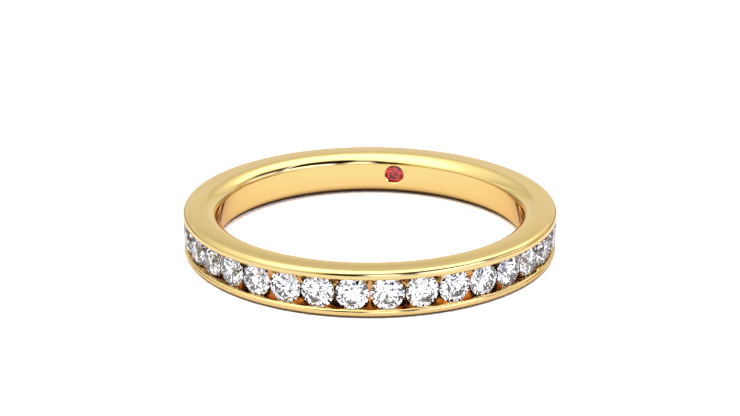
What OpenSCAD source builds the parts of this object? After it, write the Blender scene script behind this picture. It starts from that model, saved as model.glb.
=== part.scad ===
// Wedding ring, lying on its side.
// A polished band with one row of round brilliants held between two rails over the front half,
// and one small red stone set flush in the inside of the band at the back.
// Millimetres. The ring's axis is +Z, the face it rests on is at z = 0, the row's middle faces -Y.

/* [Band] */
// Inside diameter of the band, where the finger goes
finger_d = 16.7; // [14.9:0.1:19.8]
// Thickness of the band, from the inside wall to the outside face
band_wall = 1.92; // [1.87:0.01:2.3]
// Width of the band, along the finger
band_width = 2.51; // [2.4:0.01:3.2]
// Radius of the rounded outer corners
outer_round = 0.29; // [0.1:0.01:0.3]
// How far the rounding of the inner corners reaches over the side faces, for an easy slide over the knuckle
inner_reach = 0.79; // [0.75:0.01:1]
// How far that rounding reaches down the inside wall
inner_drop = 0.61; // [0.55:0.01:0.7]
// Radius of its tight end, where it meets the inside wall
inner_round = 0.35; // [0.25:0.01:0.4]

/* [Stone row] */
// Diameter of each brilliant at its girdle
stone_d = 1.7; // [1.5:0.05:1.75]
// Number of brilliants in the row
stone_count = 18; // [14:2:22]
// Air between the girdles of two neighbours
stone_gap = 0.04; // [0.03:0.01:0.1]
// Depth of the flat tables below the outer face of the rails
table_sink = 0.03; // [0:0.01:0.15]

/* [Brilliant cut] */
// Width of the table, as a share of the diameter
table_ratio = 0.57; // [0.53:0.01:0.62]
// Slope of the eight kite facets of the crown, in degrees
crown_angle = 34.5; // [32:0.5:36]
// Slope of the eight main facets of the pavilion, in degrees
pavilion_angle = 40.75; // [40:0.25:42]
// Height of the girdle, as a share of the diameter
girdle_ratio = 0.025; // [0.02:0.005:0.04]
// Length of the star facets, as a share of the way from the table to the girdle
star_ratio = 0.5; // [0.4:0.05:0.6]
// Length of the lower girdle facets, as a share of the way from the girdle to the point
lower_ratio = 0.77; // [0.7:0.01:0.85]

/* [Channel] */
// How far each rail reaches over the edge of the stones
lip_overhang = 0.075; // [0.02:0.005:0.1]
// Width of the bevel along the lip of each rail
lip_bevel = 0.14; // [0.06:0.01:0.16]
// Metal left between the finger hole and the floor of the channel
floor_wall = 0.5; // [0.4:0.05:0.6]
// Air round a stone in its seat
seat_air = 0.02; // [0.01:0.005:0.03]

/* [Red stone] */
// Diameter of the red stone at its girdle
ruby_d = 1.12; // [0.8:0.02:1.2]
// How far round from the middle of the back it sits, in degrees
ruby_turn = 10.1; // [-20:0.1:20]
// Height of its middle above the face the ring rests on
ruby_height = 1.32; // [1.2:0.01:1.4]
// Width of the bright bevel cut round it
ruby_bevel = 0.03; // [0.02:0.01:0.08]

/* [Hidden] */
inner_r = finger_d / 2;
outer_r = inner_r + band_wall;
mid_z = band_width / 2;

// The inner corners run from a broad arc at the side face into a tight one at the inside wall
broad_round = (pow(inner_reach, 2) + pow(inner_drop, 2) - 2 * inner_reach * inner_round) / 2 / (inner_drop - inner_round);
broad_turn = atan((inner_reach - inner_round) / (broad_round - inner_drop));

stone_r = stone_d / 2;
girdle_h = girdle_ratio * stone_d;
crown_h = (1 - table_ratio) * stone_r * tan(crown_angle);

// Every stone's own origin is on its axis, at the lower edge of its girdle
girdle_r = outer_r - table_sink - crown_h - girdle_h;

// Half the angle between two neighbours, from the chord that leaves stone_gap between girdles
half_pitch = atan(stone_r / girdle_r) + asin(stone_gap / 2 / norm([stone_r, girdle_r]));
row_reach = (stone_count - 1) * half_pitch;

lip_half = stone_r - lip_overhang;
floor_r = inner_r + floor_wall;
over = 0.5;
// Widens the round ends a touch, so that they cross the straight walls cleanly
end_swell = 0.02;

ruby_crown = (1 - table_ratio) * ruby_d / 2 * tan(crown_angle);
ruby_girdle = girdle_ratio * ruby_d;
ruby_table_drop = 0.03;
ruby_girdle_r = inner_r + ruby_table_drop + ruby_crown + ruby_girdle;
ruby_mouth_r = ruby_d / 2 - 0.02;

gold = "#f4cf7c";
diamond_white = "#eef2f6";
ruby_red = "#a8122e";

function stone_name(i) = str("diamond_", i < 10 ? "0" : "", i);
STONES = [for (i = [1 : stone_count]) stone_name(i)];

$fn = 180;
small_fn = 40;

// A point of a stone: r out from its axis, at azimuth a, at height z
function polar(r, a, z) = [r * cos(a), r * sin(a), z];

// Corner lists of a round brilliant of diameter d, table up, lower edge of the girdle at z = 0.
// The eight kites and the eight pavilion mains are planes, so their corners follow from the slopes.
function brilliant_points(d) =
    let (r = d / 2,
         girdle = girdle_ratio * d,
         table_r = table_ratio * r,
         table_flat = table_r * cos(22.5),
         star_r = table_flat + star_ratio * (r - table_flat),
         lower_r = (1 - lower_ratio) * r)
    concat(
        [for (k = [0 : 7]) polar(table_r, 45 * k, girdle + (r - table_r) * tan(crown_angle))],
        [for (k = [0 : 7]) polar(star_r, 45 * k + 22.5, girdle + (r - star_r * cos(22.5)) * tan(crown_angle))],
        [for (k = [0 : 15]) polar(r, 22.5 * k, girdle)],
        [for (k = [0 : 15]) polar(r, 22.5 * k, 0)],
        [for (k = [0 : 7]) polar(lower_r, 45 * k + 22.5, -(r - lower_r * cos(22.5)) * tan(pavilion_angle))],
        [[0, 0, -r * tan(pavilion_angle)]]);

// Facets of the brilliant, by the corner lists above, each listed clockwise from outside
function table_at(k) = k % 8;
function star_at(k) = 8 + (k + 8) % 8;
function upper_at(k) = 16 + (k + 16) % 16;
function under_at(k) = 32 + (k + 16) % 16;
function lower_at(k) = 48 + (k + 8) % 8;
culet = 56;
brilliant_facets = concat(
    [[for (k = [7 : -1 : 0]) table_at(k)]],
    [for (k = [0 : 7]) [table_at(k), table_at(k + 1), star_at(k)]],
    [for (k = [0 : 7]) [table_at(k), star_at(k), upper_at(2 * k), star_at(k - 1)]],
    [for (k = [0 : 7]) [star_at(k), upper_at(2 * k + 1), upper_at(2 * k)]],
    [for (k = [0 : 7]) [star_at(k), upper_at(2 * k + 2), upper_at(2 * k + 1)]],
    [for (k = [0 : 15]) [upper_at(k), upper_at(k + 1), under_at(k + 1), under_at(k)]],
    [for (k = [0 : 7]) [lower_at(k), under_at(2 * k), under_at(2 * k + 1)]],
    [for (k = [0 : 7]) [lower_at(k), under_at(2 * k + 1), under_at(2 * k + 2)]],
    [for (k = [0 : 7]) [culet, lower_at(k - 1), under_at(2 * k), lower_at(k)]]);

module brilliant(d) {
    polyhedron(points = brilliant_points(d), faces = brilliant_facets, convexity = 2);
}

// Puts a stone's origin at radius r and height z, table outward, a turns from the middle of the front
module outward(r, a, z) {
    rotate([0, 0, a]) translate([0, -r, z]) rotate([90, 0, 0]) children();
}

// The same with the table towards the finger, a turns from the middle of the back
module inward(r, a, z) {
    rotate([0, 0, 180 - a]) translate([0, -r, z]) rotate([-90, 0, 0]) children();
}

function stone_turn(i) = (2 * i - stone_count - 1) * half_pitch;

// Each stone is turned on its own axis by a different amount, as stones set by hand are
function stone_spin(i) = (i * 17) % 45;

// Slice of a disc about the origin, from straight up round to the left by a
module slice(r, a) {
    intersection() {
        circle(r = r, $fn = small_fn);
        polygon([[0, 0], [0, 2 * r], [-2 * r * sin(a), 2 * r * cos(a)]]);
    }
}

// One inner corner of the section, from the side face at z = 0 down, the finger to the left
module inner_corner() {
    translate([inner_reach, -broad_round]) slice(broad_round, broad_turn);
    translate([inner_round, -inner_drop]) circle(r = inner_round, $fn = small_fn);
    polygon([
        [inner_reach + over, 0],
        [inner_reach, 0],
        [inner_round - inner_round * sin(broad_turn), -inner_drop + inner_round * cos(broad_turn)],
        [inner_round, -inner_drop],
        [0, -inner_drop],
        [inner_reach + over, -inner_drop]]);
}

module band_section() {
    translate([inner_r + inner_reach, 0])
        square([band_wall - inner_reach - outer_round, band_width]);
    translate([inner_r, inner_drop])
        square([band_wall / 2, band_width - 2 * inner_drop]);
    translate([inner_r + band_wall / 2, outer_round])
        square([band_wall / 2, band_width - 2 * outer_round]);
    translate([inner_r, band_width]) inner_corner();
    translate([inner_r, 0]) mirror([0, 1]) inner_corner();
    for (z = [outer_round, band_width - outer_round])
        translate([outer_r - outer_round, z]) circle(r = outer_round, $fn = small_fn);
}

// The channel's section: flat floor, straight walls, bevelled lips
module channel_section() {
    polygon([
        [floor_r, mid_z - lip_half],
        [outer_r - lip_bevel, mid_z - lip_half],
        [outer_r + over, mid_z - lip_half - lip_bevel - over],
        [outer_r + over, mid_z + lip_half + lip_bevel + over],
        [outer_r - lip_bevel, mid_z + lip_half],
        [floor_r, mid_z + lip_half]]);
}

// Outline of the cutter that burs one stone's seat, air all round, open above the crown
module seat_section() {
    wide = stone_r + seat_air;
    pavilion_drop = wide * tan(pavilion_angle);
    polygon([
        [0, -pavilion_drop - seat_air],
        [wide, -seat_air],
        [wide, girdle_h + seat_air],
        [lip_half - end_swell, girdle_h + seat_air + (wide - lip_half + end_swell) * tan(crown_angle)],
        [0, crown_h + 2 * girdle_h + over]]);
}

// Round end of the channel: the same bur sunk to the outside, with the lip's bevel
module end_section() {
    lip = lip_half + end_swell;
    rim = outer_r - girdle_r;
    polygon([
        [0, -seat_air],
        [lip, -seat_air],
        [lip, rim - lip_bevel],
        [lip + lip_bevel + over, rim + over],
        [0, rim + over]]);
}

// Seat of the red stone: its own outline with air, then a straight mouth with a bevel
module ruby_seat_section() {
    wide = ruby_d / 2 + seat_air;
    mouth = ruby_girdle_r - inner_r;
    polygon([
        [0, -wide * tan(pavilion_angle) - seat_air],
        [wide, -seat_air],
        [wide, ruby_girdle + seat_air],
        [ruby_mouth_r, ruby_girdle + seat_air + (wide - ruby_mouth_r) * tan(crown_angle)],
        [ruby_mouth_r, mouth - ruby_bevel],
        [ruby_mouth_r + ruby_bevel + over, mouth + over],
        [0, mouth + over]]);
}

module band() {
    color(gold) difference() {
        rotate_extrude() band_section();
        rotate([0, 0, -90 - row_reach]) rotate_extrude(angle = 2 * row_reach) channel_section();
        for (i = [1 : stone_count])
            outward(girdle_r, stone_turn(i), mid_z) rotate_extrude($fn = small_fn) seat_section();
        for (side = [-1, 1])
            outward(girdle_r, side * row_reach, mid_z) rotate_extrude($fn = small_fn) end_section();
        inward(ruby_girdle_r, ruby_turn, ruby_height) rotate_extrude($fn = small_fn) ruby_seat_section();
    }
}

module diamond(i) {
    color(diamond_white) outward(girdle_r, stone_turn(i), mid_z) rotate([0, 0, stone_spin(i)]) brilliant(stone_d);
}

module ruby() {
    color(ruby_red) inward(ruby_girdle_r, ruby_turn, ruby_height) brilliant(ruby_d);
}

band();
for (i = [1 : stone_count]) diamond(i);
ruby();
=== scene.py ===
import math

import bmesh
import bpy
from mathutils import Matrix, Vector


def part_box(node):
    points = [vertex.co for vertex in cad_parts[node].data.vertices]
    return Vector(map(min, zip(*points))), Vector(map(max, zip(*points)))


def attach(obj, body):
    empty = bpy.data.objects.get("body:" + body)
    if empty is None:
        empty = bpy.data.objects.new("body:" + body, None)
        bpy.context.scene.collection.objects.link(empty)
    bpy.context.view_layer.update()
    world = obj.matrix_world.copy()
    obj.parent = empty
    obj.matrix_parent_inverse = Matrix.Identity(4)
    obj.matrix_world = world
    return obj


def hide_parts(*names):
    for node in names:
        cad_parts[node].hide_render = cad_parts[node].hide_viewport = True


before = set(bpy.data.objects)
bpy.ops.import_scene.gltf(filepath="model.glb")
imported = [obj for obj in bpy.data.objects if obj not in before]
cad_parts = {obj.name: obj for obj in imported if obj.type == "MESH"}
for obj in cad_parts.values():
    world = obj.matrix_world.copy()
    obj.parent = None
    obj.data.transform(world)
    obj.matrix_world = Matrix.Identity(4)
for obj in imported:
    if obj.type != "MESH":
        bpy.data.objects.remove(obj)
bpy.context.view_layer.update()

# Band
# One casting of 18 carat yellow gold, filed and polished to a mirror. The outer corners are lightly
# rounded, the inner ones broadly, so that the ring slides over the knuckle. The stone row's channel is
# milled into the front half, with a bur sunk at each end and a seat burred for every stone.

MM = 0.001
inner_r = 8.35 * MM
outer_r = 10.27 * MM
band_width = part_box("band")[1].z
mid_z = band_width / 2
outer_round = 0.29 * MM

# The inner corners: a broad arc off the flat face, then a tight one into the hole. Together they reach
# this far across the face and this far down the hole.
inner_reach = 0.79 * MM
inner_drop = 0.61 * MM
inner_round = 0.35 * MM
broad_round = inner_reach ** 2 + inner_drop ** 2 - 2 * inner_reach * inner_round
broad_round /= 2 * (inner_drop - inner_round)
broad_turn = math.degrees(math.atan2(inner_reach - inner_round, broad_round - inner_drop))

# The row: brilliants side by side, their tables just under the band's outside
stone_r = 0.85 * MM
stone_count = 18
stone_gap = 0.04 * MM
table_sink = 0.03 * MM
table_share = 0.57
girdle_share = 0.025
crown_slope = math.tan(math.radians(34.5))
pavilion_slope = math.tan(math.radians(40.75))
girdle_h = girdle_share * 2 * stone_r
crown_h = (1 - table_share) * stone_r * crown_slope
girdle_r = outer_r - table_sink - crown_h - girdle_h
half_pitch = math.atan(stone_r / girdle_r) + math.asin(stone_gap / 2 / math.hypot(stone_r, girdle_r))
row_reach = (stone_count - 1) * half_pitch

# The channel, the air round a seated stone, how far a cutter stands past the metal, and how finely
# the band and the cutters are turned
lip_half = stone_r - 0.075 * MM
lip_round = 0.14 * MM
floor_r = inner_r + 0.5 * MM
seat_air = 0.02 * MM
over = 0.5 * MM
slack = 0.01 * MM
round_steps = 360
mill_steps = 170
bur_steps = 48
end_steps = 64

# The red stone, set from inside, a little right of the middle of the back
ruby_r = 0.56 * MM
ruby_turn = math.radians(10.1)
ruby_height = 1.32 * MM
ruby_bevel = 0.03 * MM
ruby_girdle_h = girdle_share * 2 * ruby_r
ruby_girdle_r = inner_r + table_sink + (1 - table_share) * ruby_r * crown_slope + ruby_girdle_h


def arc(x, y, radius, start, stop, steps):
    """Points of an arc about (x, y), angles in degrees."""
    angles = [math.radians(start + (stop - start) * i / steps) for i in range(steps + 1)]
    return [(x + radius * math.cos(a), y + radius * math.sin(a)) for a in angles]


def turned(name, outline, steps, angle=2 * math.pi, closed=True):
    """Solid made by turning an outline of (radius, height) points about the Z axis."""
    whole = angle > 2 * math.pi - 0.01
    bm = bmesh.new()
    verts = [bm.verts.new((r, 0, z)) for r, z in outline]
    edges = [bm.edges.new(pair) for pair in zip(verts, verts[1:])]
    if closed:
        edges.append(bm.edges.new((verts[-1], verts[0])))
    geom = verts + edges
    if not whole:
        geom.append(bm.faces.new(verts))
    bmesh.ops.spin(bm, geom=geom, cent=(0, 0, 0), axis=(0, 0, 1), angle=angle, steps=steps, use_merge=whole)
    bmesh.ops.remove_doubles(bm, verts=bm.verts, dist=0.0001 * MM)
    bmesh.ops.recalc_face_normals(bm, faces=bm.faces)
    mesh = bpy.data.meshes.new(name)
    bm.to_mesh(mesh)
    bm.free()
    return bpy.data.objects.new(name, mesh)


def facing_out(turn):
    """Places a bur on a stone's axis, table outward, turned round the ring from the front's middle."""
    return (Matrix.Rotation(turn, 4, "Z") @ Matrix.Translation((0, -girdle_r, mid_z))
            @ Matrix.Rotation(math.radians(90), 4, "X"))


band = turned("polished_band", (
    arc(outer_r - outer_round, band_width - outer_round, outer_round, 0, 90, 10)
    + arc(inner_r + inner_reach, band_width - broad_round, broad_round, 90, 90 + broad_turn, 14)
    + arc(inner_r + inner_round, band_width - inner_drop, inner_round, 90 + broad_turn, 180, 10)[1:]
    + arc(inner_r + inner_round, inner_drop, inner_round, 180, 270 - broad_turn, 10)
    + arc(inner_r + inner_reach, broad_round, broad_round, 270 - broad_turn, 270, 14)[1:]
    + arc(outer_r - outer_round, outer_round, outer_round, 270, 360, 10)), round_steps)
bpy.context.scene.collection.objects.link(band)

# The mill that cuts the channel, its lips rounded over
half_channel = [(floor_r, lip_half)]
half_channel += arc(outer_r - lip_round, lip_half + lip_round, lip_round, -90, -15, 5)
half_channel.append((outer_r + over, lip_half + lip_round + 2 * over))
channel = turned("channel_mill", [(r, mid_z - h) for r, h in half_channel]
                 + [(r, mid_z + h) for r, h in reversed(half_channel)], mill_steps, angle=2 * row_reach)
channel.data.transform(Matrix.Rotation(-math.pi / 2 - row_reach, 4, "Z"))
burs = [channel]

# The burs that cut the stones' seats, each a little wider than its stone
bur_r = stone_r + seat_air
neck_r = lip_half - seat_air
seat_outline = [
    (0, -bur_r * pavilion_slope - seat_air),
    (bur_r, -seat_air),
    (bur_r, girdle_h + seat_air),
    (neck_r, girdle_h + seat_air + (bur_r - neck_r) * crown_slope),
    (0, crown_h + 2 * girdle_h + over)]
for i in range(stone_count):
    bur = turned("seat_bur", seat_outline, bur_steps, closed=False)
    bur.data.transform(facing_out((2 * i + 1 - stone_count) * half_pitch))
    burs.append(bur)

# The burs at the two ends of the channel
rim = outer_r - girdle_r
end_half = lip_half + seat_air
end_outline = [(0, -seat_air), (end_half, -seat_air)]
end_outline += arc(end_half + lip_round, rim - lip_round, lip_round, 180, 105, 5)
end_outline += [(end_half + lip_round + 2 * over, rim + over), (0, rim + over)]
for side in (-1, 1):
    bur = turned("end_bur", end_outline, end_steps, closed=False)
    bur.data.transform(facing_out(side * row_reach))
    burs.append(bur)

# The bur that cuts the red stone's seat from inside
ruby_bur_r = ruby_r + seat_air
ruby_mouth = ruby_r - seat_air
mouth_h = ruby_girdle_r - inner_r
ruby_bur = turned("ruby_bur", [
    (0, -ruby_bur_r * pavilion_slope - seat_air),
    (ruby_bur_r, -seat_air),
    (ruby_bur_r, ruby_girdle_h + seat_air),
    (ruby_mouth, ruby_girdle_h + seat_air + (ruby_bur_r - ruby_mouth) * crown_slope),
    (ruby_mouth, mouth_h - ruby_bevel),
    (ruby_mouth + ruby_bevel + over, mouth_h + over),
    (0, mouth_h + over)], end_steps, closed=False)
ruby_bur.data.transform(Matrix.Rotation(math.pi - ruby_turn, 4, "Z")
                        @ Matrix.Translation((0, -ruby_girdle_r, ruby_height))
                        @ Matrix.Rotation(math.radians(-90), 4, "X"))
burs.append(ruby_bur)

drill = bpy.data.collections.new("drill")
bpy.context.scene.collection.children.link(drill)
for bur in burs:
    drill.objects.link(bur)
cut = band.modifiers.new("cut", "BOOLEAN")
cut.operand_type = "COLLECTION"
cut.collection = drill
cut.operation = "DIFFERENCE"
cut.solver = "EXACT"
finished = bpy.data.meshes.new_from_object(band.evaluated_get(bpy.context.evaluated_depsgraph_get()))
band.modifiers.clear()
band.data = finished
for bur in burs:
    bpy.data.objects.remove(bur)
bpy.data.collections.remove(drill)
for face in finished.polygons:
    face.use_smooth = True
finished.set_sharp_from_angle(angle=math.radians(24))


def joined(tree, value, socket):
    """Feeds a socket with a number, a colour or another node's output."""
    if isinstance(value, bpy.types.NodeSocket):
        tree.links.new(value, socket)
    elif isinstance(value, tuple):
        socket.default_value = (*value, 1)
    else:
        socket.default_value = value


def calc(tree, operation, *values):
    """Math node fed with sockets or numbers; returns its output socket."""
    node = tree.nodes.new("ShaderNodeMath")
    node.operation = operation
    for socket, value in zip(node.inputs, values):
        joined(tree, value, socket)
    return node.outputs["Value"]


def spread_to(tree, value, low, high, start, stop):
    """Value between low and high moved to between start and stop, and kept there."""
    node = tree.nodes.new("ShaderNodeMapRange")
    for socket, setting in zip(node.inputs, (value, low, high, start, stop)):
        joined(tree, setting, socket)
    return node.outputs["Result"]


def graded(tree, value, low, high, stops, steps="LINEAR"):
    """Value read through a ramp whose stops are (value, grey level or colour), between low and high."""
    ramp = tree.nodes.new("ShaderNodeValToRGB")
    ramp.color_ramp.interpolation = steps
    tree.links.new(spread_to(tree, value, low, high, 0, 1), ramp.inputs["Fac"])
    dots = ramp.color_ramp.elements
    dots.remove(dots[1])
    for i, (at, tone) in enumerate(stops):
        share = (at - low) / (high - low)
        dot = dots[0] if i == 0 else dots.new(share)
        dot.position = share
        dot.color = (*tone, 1) if isinstance(tone, tuple) else (tone, tone, tone, 1)
    return ramp.outputs["Color"]


def blended(tree, mask, below, above):
    """Colour that goes from below to above with a mask."""
    node = tree.nodes.new("ShaderNodeMix")
    node.data_type = "RGBA"
    for name, value in (("Factor", mask), ("A", below), ("B", above)):
        socket = next(s for s in node.inputs if s.name == name and s.enabled)
        joined(tree, value, socket)
    return next(s for s in node.outputs if s.enabled)


def speckled(tree, vector, scale, detail):
    """Noise from 0 to 1 on a vector in millimetres, with so many grains to the millimetre."""
    node = tree.nodes.new("ShaderNodeTexNoise")
    tree.links.new(vector, node.inputs["Vector"])
    node.inputs["Scale"].default_value = scale
    node.inputs["Detail"].default_value = detail
    return node.outputs["Fac"]


# What a polishing wheel leaves on metal and stone: hairlines that run round the ring, and a faint haze
polish = bpy.data.node_groups.new("polish_marks", "ShaderNodeTree")
polish.interface.new_socket("Fineness", in_out="INPUT", socket_type="NodeSocketFloat")
polish.interface.new_socket("Hairlines", in_out="OUTPUT", socket_type="NodeSocketFloat")
polish.interface.new_socket("Haze", in_out="OUTPUT", socket_type="NodeSocketFloat")
given = polish.nodes.new("NodeGroupInput")
place = polish.nodes.new("ShaderNodeTexCoord")
in_mm = polish.nodes.new("ShaderNodeVectorMath")
in_mm.operation = "SCALE"
in_mm.inputs["Scale"].default_value = 1 / MM
polish.links.new(place.outputs["Object"], in_mm.inputs[0])
apart = polish.nodes.new("ShaderNodeSeparateXYZ")
polish.links.new(in_mm.outputs["Vector"], apart.inputs["Vector"])
squares = [calc(polish, "MULTIPLY", apart.outputs[k], apart.outputs[k]) for k in "XY"]
across_line = polish.nodes.new("ShaderNodeCombineXYZ")
polish.links.new(calc(polish, "SQRT", calc(polish, "ADD", *squares)), across_line.inputs["X"])
polish.links.new(apart.outputs["Z"], across_line.inputs["Z"])
lines = speckled(polish, across_line.outputs["Vector"], 14, 4)
polish.links.new(given.outputs["Fineness"], lines.node.inputs["Scale"])
patches = speckled(polish, in_mm.outputs["Vector"], 0.9, 2)
result = polish.nodes.new("NodeGroupOutput")
hairlines = calc(polish, "MULTIPLY", spread_to(polish, lines, 0.5, 0.75, 0, 1),
                 spread_to(polish, patches, 0.4, 0.65, 0, 1))
polish.links.new(hairlines, result.inputs["Hairlines"])
polish.links.new(speckled(polish, in_mm.outputs["Vector"], 1.6, 3), result.inputs["Haze"])


def polished(tree, fineness):
    """Places the polishing marks in a material; returns the hairlines' and the haze's sockets."""
    node = tree.nodes.new("ShaderNodeGroup")
    node.node_tree = polish
    node.inputs["Fineness"].default_value = fineness
    return node.outputs["Hairlines"], node.outputs["Haze"]


def gold_finish(name, colour, pale, painted_light_in_stones, low, high, relief):
    """Gold, pale where the haze is, its roughness from low to high. Rays through the stones see painted
    light with painted dark flecks on it instead of its own colour.
    """
    material = bpy.data.materials.new(name)
    material.use_nodes = True
    tree = material.node_tree
    surface = tree.nodes["Principled BSDF"]
    surface.inputs["Metallic"].default_value = 1.0
    surface.inputs["Specular Tint"].default_value = (1.0, 0.87, 0.8, 1)
    hairlines, haze = polished(tree, fineness=14)
    ray = tree.nodes.new("ShaderNodeLightPath")
    # What the stones see of the gold is painted: a light tone with dark flecks of painted shade in the
    # haze's patches, which put dark reflections into the stones.
    painted_dark_in_stones = (0.02, 0.018, 0.016)
    painted_flecks_in_stones = blended(tree, spread_to(tree, haze, 0.43, 0.46, 0, 1), painted_dark_in_stones, painted_light_in_stones)
    tone = blended(tree, ray.outputs["Is Transmission Ray"], blended(tree, haze, colour, pale), painted_flecks_in_stones)
    tree.links.new(tone, surface.inputs["Base Color"])
    marks = calc(tree, "MAXIMUM", hairlines, spread_to(tree, haze, 0.5, 0.8, 0, 0.6))
    tree.links.new(spread_to(tree, marks, 0, 1, low, high), surface.inputs["Roughness"])
    bump = tree.nodes.new("ShaderNodeBump")
    bump.inputs["Distance"].default_value = relief
    tree.links.new(calc(tree, "ADD", haze, calc(tree, "MULTIPLY", hairlines, -0.3)), bump.inputs["Height"])
    tree.links.new(bump.outputs["Normal"], surface.inputs["Normal"])
    return material


# The faces that the mill and the burs left stay matt, rougher than the polished outside; their darker, more
# orange gold is painted shade of the deep channel between the stones
finished.materials.clear()
finished.materials.append(gold_finish(
    "polished_gold", (1.0, 0.752, 0.29), (1.0, 0.762, 0.31), (1.0, 0.88, 0.6), 0.024, 0.06, 0.0004 * MM))
finished.materials.append(gold_finish(
    "cut_gold_painted_shade", (0.66, 0.35, 0.1), (0.8, 0.45, 0.14), (0.95, 0.93, 0.89), 0.1, 0.24, 0.004 * MM))
for face in finished.polygons:
    x, y, z = face.center
    sunk = floor_r - slack < math.hypot(x, y) < outer_r - lip_round - 2 * slack
    if sunk and abs(z - mid_z) < lip_half + 8 * slack:
        face.material_index = 1
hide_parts("band")
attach(band, "root")

# Brilliants
# Colourless round stones with a table, crown and pavilion facets and a fine faceted girdle. Each lies in
# its burred seat with the rails' lips over its edge. Their cut is in the frame's own meshes, so only
# the finish is given here: a tint that differs from stone to stone, and the polish of the facets.

diamond = bpy.data.materials.new("diamond")
diamond.use_nodes = True
tree = diamond.node_tree
surface = tree.nodes["Principled BSDF"]
surface.inputs["Transmission Weight"].default_value = 1.0
surface.inputs["IOR"].default_value = 2.42
surface.inputs["Specular Tint"].default_value = (1.0, 0.96, 0.72, 1)
hairlines, haze = polished(tree, fineness=30)
place = tree.nodes.new("ShaderNodeTexCoord")
in_mm = tree.nodes.new("ShaderNodeVectorMath")
in_mm.operation = "SCALE"
in_mm.inputs["Scale"].default_value = 1 / MM
tree.links.new(place.outputs["Object"], in_mm.inputs[0])
by_stone = spread_to(tree, speckled(tree, in_mm.outputs["Vector"], 0.45, 0), 0.35, 0.65, 0, 1)
tint = blended(tree, by_stone, (1.0, 0.995, 0.98), (0.975, 0.985, 1.0))
tree.links.new(tint, surface.inputs["Base Color"])
tree.links.new(spread_to(tree, hairlines, 0, 1, 0, 0.012), surface.inputs["Roughness"])
for name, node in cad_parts.items():
    if name.startswith("diamond"):
        node.data.materials[0] = diamond

# Red stone
# One small round ruby, sunk flush in the inside of the band behind a narrow bevel, table to the finger.
# Its red is deep and a little uneven, with fine silk that lightens it in patches.

ruby = bpy.data.materials.new("ruby")
ruby.use_nodes = True
tree = ruby.node_tree
surface = tree.nodes["Principled BSDF"]
surface.inputs["Transmission Weight"].default_value = 1.0
surface.inputs["IOR"].default_value = 1.77
hairlines, haze = polished(tree, fineness=30)
silk = spread_to(tree, haze, 0.35, 0.65, 0, 1)
tree.links.new(blended(tree, silk, (0.46, 0.022, 0.03), (0.58, 0.04, 0.055)), surface.inputs["Base Color"])
tree.links.new(spread_to(tree, hairlines, 0, 1, 0.01, 0.03), surface.inputs["Roughness"])
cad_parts["ruby"].data.materials[0] = ruby

# Floor
# A sheet of white card. It is overexposed where the camera sees it, and painted light makes it brightest
# round the ring, which washes out the ring's shadow there.
# The gold mirrors a duller sheet with painted light and shade: warm light bounced off the gold inside the
# ring, dark in the ring's own contact shadow, and a brighter band just outside the ring that dims further
# out.
# The stones see painted reflections of it: white rings with dark rings between. Tones go by the distance
# from the ring's axis, in millimetres.

bm = bmesh.new()
bmesh.ops.create_grid(bm, x_segments=1, y_segments=1, size=2.0)
card_mesh = bpy.data.meshes.new("card")
bm.to_mesh(card_mesh)
bm.free()
card = bpy.data.objects.new("card", card_mesh)
bpy.context.scene.collection.objects.link(card)
white_card = bpy.data.materials.new("white_card")
white_card.use_nodes = True
tree = white_card.node_tree
place = tree.nodes.new("ShaderNodeTexCoord")
length = tree.nodes.new("ShaderNodeVectorMath")
length.operation = "LENGTH"
tree.links.new(place.outputs["Object"], length.inputs[0])
out_mm = calc(tree, "DIVIDE", length.outputs["Value"], MM)
# What the gold mirrors: painted warm light bounced off the gold inside the ring, the ring's contact shadow
# under it, and a brighter band just outside that dims further out.
shadow = (0.16, 0.14, 0.12)
mirrored = graded(tree, out_mm, 0, 20, [
    (5.2, 0.77), (6.4, (0.8, 0.735, 0.715)), (8.4, (0.79, 0.7, 0.65)), (8.52, shadow), (10.24, shadow),
    (10.38, (0.91, 0.85, 0.9)), (11.5, (0.95, 0.91, 1.03)), (13, (0.85, 0.83, 0.9)),
    (16, (0.755, 0.79, 0.9))])
# Painted reflections for the stones: white rings of card with dark rings between.
painted_rings_for_stones = graded(tree, out_mm, 8, 24, [
    (8, 1.15), (12, 0.05), (12.3, 1.15), (14.4, 0.05), (15, 1.15), (19, 0.05), (20.5, 1.15)],
    steps="CONSTANT")
ray = tree.nodes.new("ShaderNodeLightPath")
by_stones = blended(tree, ray.outputs["Is Transmission Ray"], mirrored, painted_rings_for_stones)
surface = tree.nodes["Principled BSDF"]
# Painted light for the camera: brightest round the ring, where it washes out the ring's shadow on the card.
overexposed_with_painted_light = graded(tree, out_mm, 0, 20, [(5.5, 1.15), (7.0, 2.2), (10.6, 2.2), (13, 1.15)])
tone = blended(tree, ray.outputs["Is Camera Ray"], by_stones, overexposed_with_painted_light)
tree.links.new(tone, surface.inputs["Base Color"])
surface.inputs["Roughness"].default_value = 1.0
surface.inputs["Specular IOR Level"].default_value = 0.0
card_mesh.materials.append(white_card)

# Studio
# A white room for small things: a long soft box hangs slantwise overhead, a dark slot runs along its near
# edge, tall panels stand beyond the slot, and a folded grey backdrop closes the room behind the ring.
# Directions are written as their meeting point with a flat ceiling one unit up: (x / z, y / z).

studio = bpy.data.worlds.new("studio")
bpy.context.scene.world = studio
studio.use_nodes = True
sky = studio.node_tree
coords = sky.nodes.new("ShaderNodeTexCoord")
split = sky.nodes.new("ShaderNodeSeparateXYZ")
sky.links.new(coords.outputs["Generated"], split.inputs["Vector"])
x, y, z = split.outputs["X"], split.outputs["Y"], split.outputs["Z"]
height = calc(sky, "MAXIMUM", z, 0.02)
across = calc(sky, "DIVIDE", x, height)
along = calc(sky, "DIVIDE", y, height)
round_about = calc(sky, "ARCTAN2", x, calc(sky, "MULTIPLY", y, -1))

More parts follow.
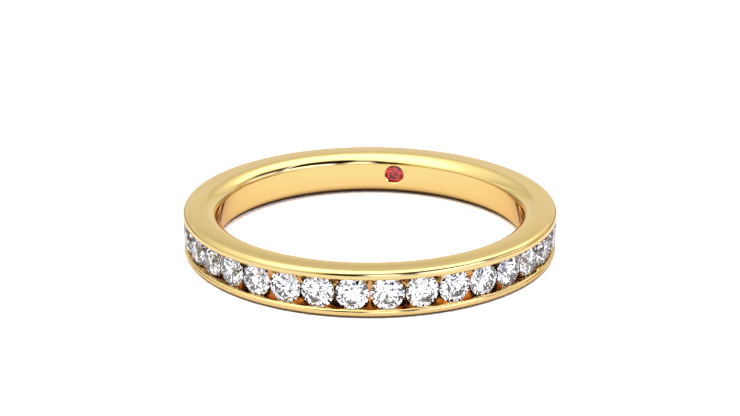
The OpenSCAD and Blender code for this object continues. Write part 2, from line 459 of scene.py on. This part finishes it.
# The lamp: a strip of light, hottest along its middle, that dies away at both ends
skew = 0.88
cant = 0.19
slant = calc(sky, "SUBTRACT", along, calc(sky, "MULTIPLY", across, skew))
reach = calc(sky, "ADD", across, calc(sky, "MULTIPLY", along, skew))
lamp = graded(sky, calc(sky, "ADD", slant, calc(sky, "MULTIPLY", reach, cant)), -1, 5, [
    (-0.7, 1.85), (-0.1, 2.5), (0.1, 2.45), (0.55, 1.75), (0.85, 1.15), (1.2, 1.03), (2.0, 0.78),
    (2.6, 0.63), (3.3, 0.8), (4.0, 0.9)])
ends = graded(sky, reach, -4, 4, [
    (-3.06, 0.0), (-1.86, 0.38), (-0.93, 1.0), (1.73, 1.0), (2.0, 0.8), (2.26, 0.4), (2.8, 0.0)])
ceiling = blended(sky, ends, graded(sky, reach, -4, 4, [(-2.6, 0.95), (2.9, 0.84)]), lamp)

# Behind, a grey backdrop with a fold in it, a little brighter on the right
cloth = (0.7, 0.705, 0.71)
crest = (0.755, 0.8, 0.87)
crease = (0.7, 0.745, 0.81)
folds = graded(sky, along, 0, 8, [
    (2.4, 0.625), (2.6, cloth), (2.95, crest), (3.04, crease), (3.2, (0.735, 0.78, 0.85)),
    (6.0, (0.83, 0.88, 0.95))])
to_right = graded(sky, x, -1, 1, [(-0.12, 0.04), (-0.03, 0.0), (0.03, 0.0), (0.08, 0.13)])
backdrop = blended(sky, to_right, folds, (1.0, 1.0, 1.0))
room = blended(sky, graded(sky, along, 0, 8, [(2.0, 0.0), (2.35, 1.0)]), ceiling, backdrop)

# A grey flag cuts the lamp off in the middle of the back
flag = graded(sky, along, 0, 8, [(0.52, 1.1), (0.6, 0.95), (0.75, 0.82), (1.0, 0.75), (1.4, 0.7)])
at_back = graded(sky, round_about, -math.pi, math.pi, [(-3.05, 1.0), (-2.8, 0.0), (2.8, 0.0), (3.0, 1.0)])
flag_depth = graded(sky, along, 0, 8, [(0.45, 0.0), (0.6, 1.0), (1.7, 1.0), (2.2, 0.0)])
room = blended(sky, calc(sky, "MULTIPLY", at_back, flag_depth), room, flag)

# Low down the room is darker all round, except for the middle of the back
skirting = graded(sky, round_about, -math.pi, math.pi, [
    (-2.95, 0.6), (-2.7, 0.2), (-2.2, 0.24), (-1.6, 0.5), (-0.85, 0.54), (2.0, 0.18), (2.7, 0.18),
    (2.95, 0.6)])
lowered = graded(sky, round_about, -math.pi, math.pi, [(-3.0, 0.14), (-2.3, 0.0), (2.2, 0.0), (3.05, 0.15)])
skirted = graded(sky, calc(sky, "ADD", z, lowered), 0, 1, [(0.13, 1.0), (0.2, 0.5), (0.25, 0.0)])
room = blended(sky, skirted, room, skirting)

# Beyond the lamp's near edge: a dark slot, then the tops of tall panels, then the panels themselves.
# Each is a row of tones by bearing, in radians rightwards from the front; the edges between the rows
# climb towards their ends.
dark = (0.006, 0.005, 0.004)
shade = (0.1, 0.09, 0.07)
dim = (0.2, 0.2, 0.11)
grey = (0.6, 0.58, 0.48)
dusk = (0.43, 0.45, 0.68)
blue = (1.0, 1.1, 1.95)
pale_blue = (1.3, 1.4, 2.25)
pearl = (1.1, 1.12, 1.4)
white = (2.6, 2.6, 2.8)
clay = (0.59, 0.48, 0.41)
brown = (0.34, 0.24, 0.11)
slot = graded(sky, round_about, -1, 2.4, [
    (-0.6, grey), (-0.46, dim), (-0.39, dark), (-0.1, dark), (0.03, dusk), (0.2, dusk), (0.31, dark),
    (1.25, dark), (1.35, blue), (1.44, dark), (1.93, dark), (2.0, grey)])
tops = graded(sky, round_about, -1, 2.4, [
    (-0.6, grey), (-0.46, dim), (-0.39, dark), (-0.08, dark), (0.03, white), (0.26, white), (0.34, dusk),
    (0.43, dark), (0.47, dark), (0.6, blue), (0.75, pale_blue), (0.93, white), (1.25, white), (1.35, dusk),
    (1.42, dusk), (1.5, pearl), (1.8, pearl), (2.05, clay)])
panels = graded(sky, round_about, -1, 2.4, [
    (-0.6, grey), (-0.46, dim), (-0.36, shade), (-0.15, shade), (0.02, blue), (0.28, blue), (0.37, dusk),
    (0.46, dusk), (0.53, pale_blue), (0.8, pale_blue), (0.92, blue), (1.48, clay), (1.78, clay),
    (1.84, brown)])
climb = graded(sky, round_about, -1, 2.4, [
    (-0.85, 0.4), (-0.3, 0.0), (1.5, 0.0), (1.85, 0.2), (2.05, 0.45)])
top_climb = graded(sky, round_about, -1, 2.4, [
    (-0.1, 0.2), (0.0, 0.0), (0.28, 0.0), (0.36, 0.2), (1.28, 0.25), (1.5, 0.58), (1.75, 0.77),
    (2.05, 1.35)])
in_slot = graded(sky, calc(sky, "SUBTRACT", slant, climb), -3, 1, [
    (-0.95, 1.0), (-0.62, 0.18), (-0.3, 0.06), (-0.1, 0.0)])
past_slot = graded(sky, calc(sky, "SUBTRACT", slant, top_climb), -3, 1, [(-2.1, 1.0), (-1.76, 0.0)])
down_panels = graded(sky, slant, -5, 1, [(-3.1, 1.0), (-2.35, 0.0)])
beyond = blended(sky, past_slot, slot, blended(sky, down_panels, tops, panels))
seen = blended(sky, in_slot, room, beyond)

# What the stones gather: a white tent with dark seams between its panels, round it and up it
rise = calc(sky, "ARCSINE", z)
seams_round = 3.2
seams_up = 4.5
seam = calc(sky, "MINIMUM", calc(sky, "PINGPONG", calc(sky, "MULTIPLY", round_about, seams_round), 0.5),
            calc(sky, "PINGPONG", calc(sky, "MULTIPLY", rise, seams_up), 0.5))
tent = graded(sky, seam, 0, 0.5, [(0.09, 0.0), (0.11, 2.2)])
ray = sky.nodes.new("ShaderNodeLightPath")
light = blended(sky, ray.outputs["Is Transmission Ray"], seen, tent)
sky.links.new(light, sky.nodes["Background"].inputs["Color"])
bpy.context.scene.view_settings.view_transform = "Standard"

# Camera
# A long lens on a tripod, four ring widths away. It looks down at the front of the ring from about
# twenty degrees, aimed a little above the ring's middle.

lens = bpy.data.cameras.new("camera")
lens.lens = 71.19
lens.sensor_width = 36
lens.clip_start = 0.001
lens.clip_end = 10
camera = bpy.data.objects.new("camera", lens)
bpy.context.scene.collection.objects.link(camera)
lift = math.radians(20.468)
look_down = math.radians(19.883)
distance = 81.23 * MM
aim_z = mid_z - 0.01 * MM
camera.location = (0, -distance * math.cos(lift), distance * math.sin(lift) + aim_z)
camera.rotation_euler = (math.pi / 2 - look_down, 0, 0)
bpy.context.scene.camera = camera
